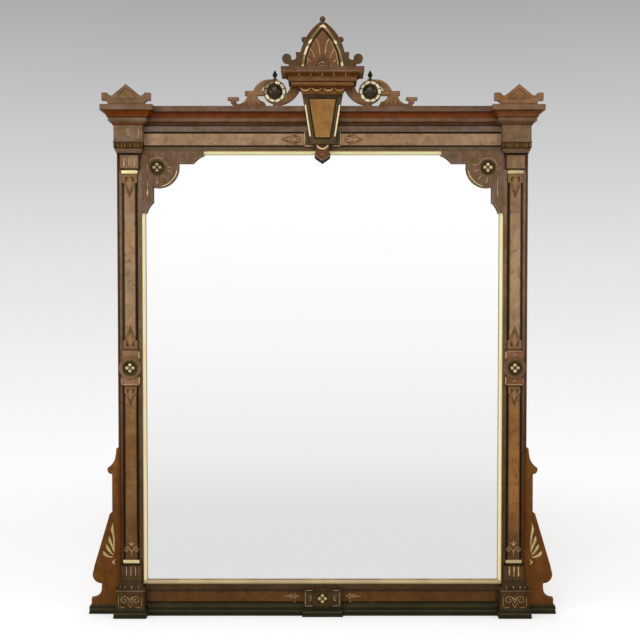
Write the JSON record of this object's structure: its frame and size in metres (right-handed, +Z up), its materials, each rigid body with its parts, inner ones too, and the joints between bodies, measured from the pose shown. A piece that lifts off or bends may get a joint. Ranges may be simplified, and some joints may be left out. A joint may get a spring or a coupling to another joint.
{
  "type": "wall mirror",
  "caption": "Tall rectangular pier mirror in an architectural frame: pilasters on plinths, bracketed cornice, keystone with a pointed gable, scroll brackets and side wings at the foot.",
  "frame": {"origin": "middle of the bounding box at floor level, under the middle of the mirror", "axes": "+Z up, the mirror faces -Y and its flat back is the +Y side, +X to the right of somebody who looks at the back"},
  "size_m": [1.484, 0.1404, 1.8799],
  "materials": {
    "walnut": "satin polished walnut",
    "red_walnut": "polished reddish walnut",
    "burl": "polished burl veneer",
    "ebonised": "ebonised and polished",
    "gilt": "gold leaf on wood",
    "mirror": "silvered plate glass",
    "pine": "sawn softwood",
    "steel": "plain steel"
  },
  "bodies": {
    "root": {"stile_left": "walnut", "stile_right": "walnut", "top_rail": "walnut", "bottom_rail": "walnut", "mirror_plate": "mirror", "backboards": "pine", "glazing_blocks": "pine", "back_screws": "steel", "hanger_plates": "steel", "glue_blocks": "pine", "gilt_slip": "gilt", "spandrel_left": "walnut", "spandrel_right": "walnut", "pilaster_panel_left": "burl", "pilaster_panel_right": "burl", "pilaster_fillets": "walnut", "edge_mouldings": "red_walnut", "reeded_blocks": "walnut", "medallion_left": "walnut", "medallion_right": "walnut", "fluted_blocks": "walnut", "plinth_block_left": "walnut", "plinth_block_right": "walnut", "plinth_bases": "ebonised", "capital_necks": "walnut", "gadroon_bands": "walnut", "capital_cornice_left": "walnut", "capital_cornice_right": "walnut", "acroterion_left": "walnut", "acroterion_right": "walnut", "cornice": "walnut", "bed_moulding": "red_walnut", "frieze_fascia": "walnut", "burl_panels": "burl", "architrave": "walnut", "ebonised_lines": "ebonised", "gilt_strips": "gilt", "keystone": "walnut", "keystone_panel": "burl", "keystone_tablet": "walnut", "pendant": "walnut", "scallop_band": "red_walnut", "hood": "walnut", "crest_board": "walnut", "gable": "walnut", "gable_panel": "red_walnut", "turned_finials": "walnut", "scroll_bracket_left": "walnut", "scroll_bracket_right": "walnut", "scroll_rings": "gilt", "scroll_bosses": "ebonised", "wing_left": "red_walnut", "wing_right": "red_walnut", "base_moulding": "ebonised", "base_fascia": "walnut", "base_tablet": "walnut", "rosette_cups": "ebonised", "rosette_petals": "gilt", "leaf_drops": "walnut"}
  },
  "joints": []
}
